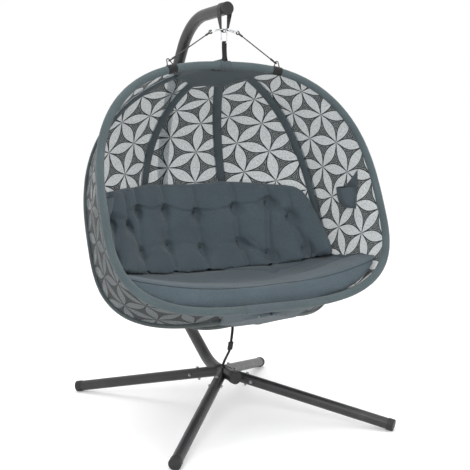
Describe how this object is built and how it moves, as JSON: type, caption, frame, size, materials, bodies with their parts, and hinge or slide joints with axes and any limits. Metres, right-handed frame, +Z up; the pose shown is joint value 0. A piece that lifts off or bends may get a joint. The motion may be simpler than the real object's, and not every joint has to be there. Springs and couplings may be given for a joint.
{
  "type": "hanging egg chair",
  "caption": "Hanging egg chair for two: an oval cloth shell on a hoop and ribs, with cushions, hung by a sling and rings from a curved post on spread legs.",
  "frame": {"origin": "on the floor, under the middle of the whole chair's bounding box", "axes": "+Z up, -Y to the front where the sitters face, +X to the sitters' left"},
  "size_m": [1.43, 1.4382, 1.9418],
  "materials": {
    "stand_paint": "satin charcoal powder coat",
    "frame_paint": "black powder coat",
    "cap_plastic": "moulded charcoal plastic",
    "fastener_steel": "zinc plated",
    "ring_steel": "polished steel wire",
    "webbing": "black woven webbing",
    "cable_coat": "black sheathed steel cable",
    "crimp_metal": "black crimp sleeve",
    "sleeve_cloth": "plain grey-green woven cloth",
    "panel_cloth": "petal pattern cloth over dark mesh",
    "cushion_cloth": "slate woven outdoor cloth",
    "pocket_cloth": "plain grey-green woven cloth"
  },
  "bodies": {
    "stand": {"post_upper": "stand_paint", "post_lower": "stand_paint", "post_joint_bolts": "fastener_steel", "leg_sockets": "stand_paint", "leg_front_left": "stand_paint", "leg_front_right": "stand_paint", "leg_rear_left": "stand_paint", "leg_rear_right": "stand_paint", "leg_caps": "cap_plastic", "leg_bolts": "fastener_steel", "leg_cap_nuts": "fastener_steel", "leg_screws": "fastener_steel", "post_cap_top": "cap_plastic", "post_cap_bottom": "cap_plastic", "tether_wrap": "webbing"},
    "sling": {"sling": "webbing"},
    "hanger": {"ring_left": "ring_steel", "ring_right": "ring_steel", "ring_pins_side": "ring_steel"},
    "gate_left": {"ring_gate_left": "ring_steel"},
    "gate_right": {"ring_gate_right": "ring_steel"},
    "gate_centre": {"ring_gate_centre": "ring_steel"},
    "chair": {"ring_centre": "ring_steel", "ring_pin_centre": "ring_steel", "rim_tube_left": "frame_paint", "rim_tube_right": "frame_paint", "rim_sleeve_left": "sleeve_cloth", "rim_sleeve_right": "sleeve_cloth", "rib_tube_1": "frame_paint", "rib_tube_2": "frame_paint", "rib_tube_3": "frame_paint", "rib_tube_4": "frame_paint", "rib_sleeve_1": "sleeve_cloth", "rib_sleeve_2": "sleeve_cloth", "rib_sleeve_3": "sleeve_cloth", "rib_sleeve_4": "sleeve_cloth", "panel_1": "panel_cloth", "panel_2": "panel_cloth", "panel_3": "panel_cloth", "panel_4": "panel_cloth", "panel_5": "panel_cloth", "rib_bracket_top": "frame_paint", "rib_bracket_bottom": "frame_paint", "rib_bolts": "fastener_steel", "patch_top": "sleeve_cloth", "patch_bottom": "sleeve_cloth", "rim_bands": "webbing", "rim_loops": "frame_paint", "cable_left": "cable_coat", "cable_right": "cable_coat", "cable_crimps": "crimp_metal", "centre_strap": "webbing", "seat_cushion": "cushion_cloth", "back_cushion": "cushion_cloth", "pocket_left": "pocket_cloth", "pocket_right": "pocket_cloth", "tether_strap": "webbing", "tether_buckle": "cap_plastic"}
  },
  "joints": [
    {"name": "hang_roll", "type": "hinge", "parent": "stand", "child": "sling", "pos_m": [0, -0.06619, 1.90955], "axis": [0, 1, 0], "range_deg": [-3, 3], "deforming": ["tether_strap", "tether_buckle"]},
    {"name": "hang_twist", "type": "hinge", "parent": "sling", "child": "hanger", "pos_m": [0, -0.06619, 1.8166], "axis": [0, 0, 1], "range_deg": [-15, 15], "deforming": ["sling", "tether_strap", "tether_buckle"]},
    {"name": "hang_pitch", "type": "hinge", "parent": "hanger", "child": "chair", "pos_m": [0, -0.06619, 1.80396], "axis": [1, 0, 0], "range_deg": [-3, 3], "deforming": ["sling", "tether_strap", "tether_buckle"]},
    {"name": "gate_left_open", "type": "hinge", "parent": "hanger", "child": "gate_left", "pos_m": [0.04907, -0.05044, 1.80928], "axis": [0.2419, 0, 0.9703], "range_deg": [0, 25], "stiffness_Nm_per_rad": 0.02},
    {"name": "gate_right_open", "type": "hinge", "parent": "hanger", "child": "gate_right", "pos_m": [-0.04907, -0.05044, 1.80928], "axis": [0.2419, 0, -0.9703], "range_deg": [0, 25], "stiffness_Nm_per_rad": 0.02},
    {"name": "gate_centre_open", "type": "hinge", "parent": "chair", "child": "gate_centre", "pos_m": [-0.00788, -0.05255, 1.77512], "axis": [0.866, 0.5, 0], "range_deg": [0, 25], "stiffness_Nm_per_rad": 0.02}
  ]
}
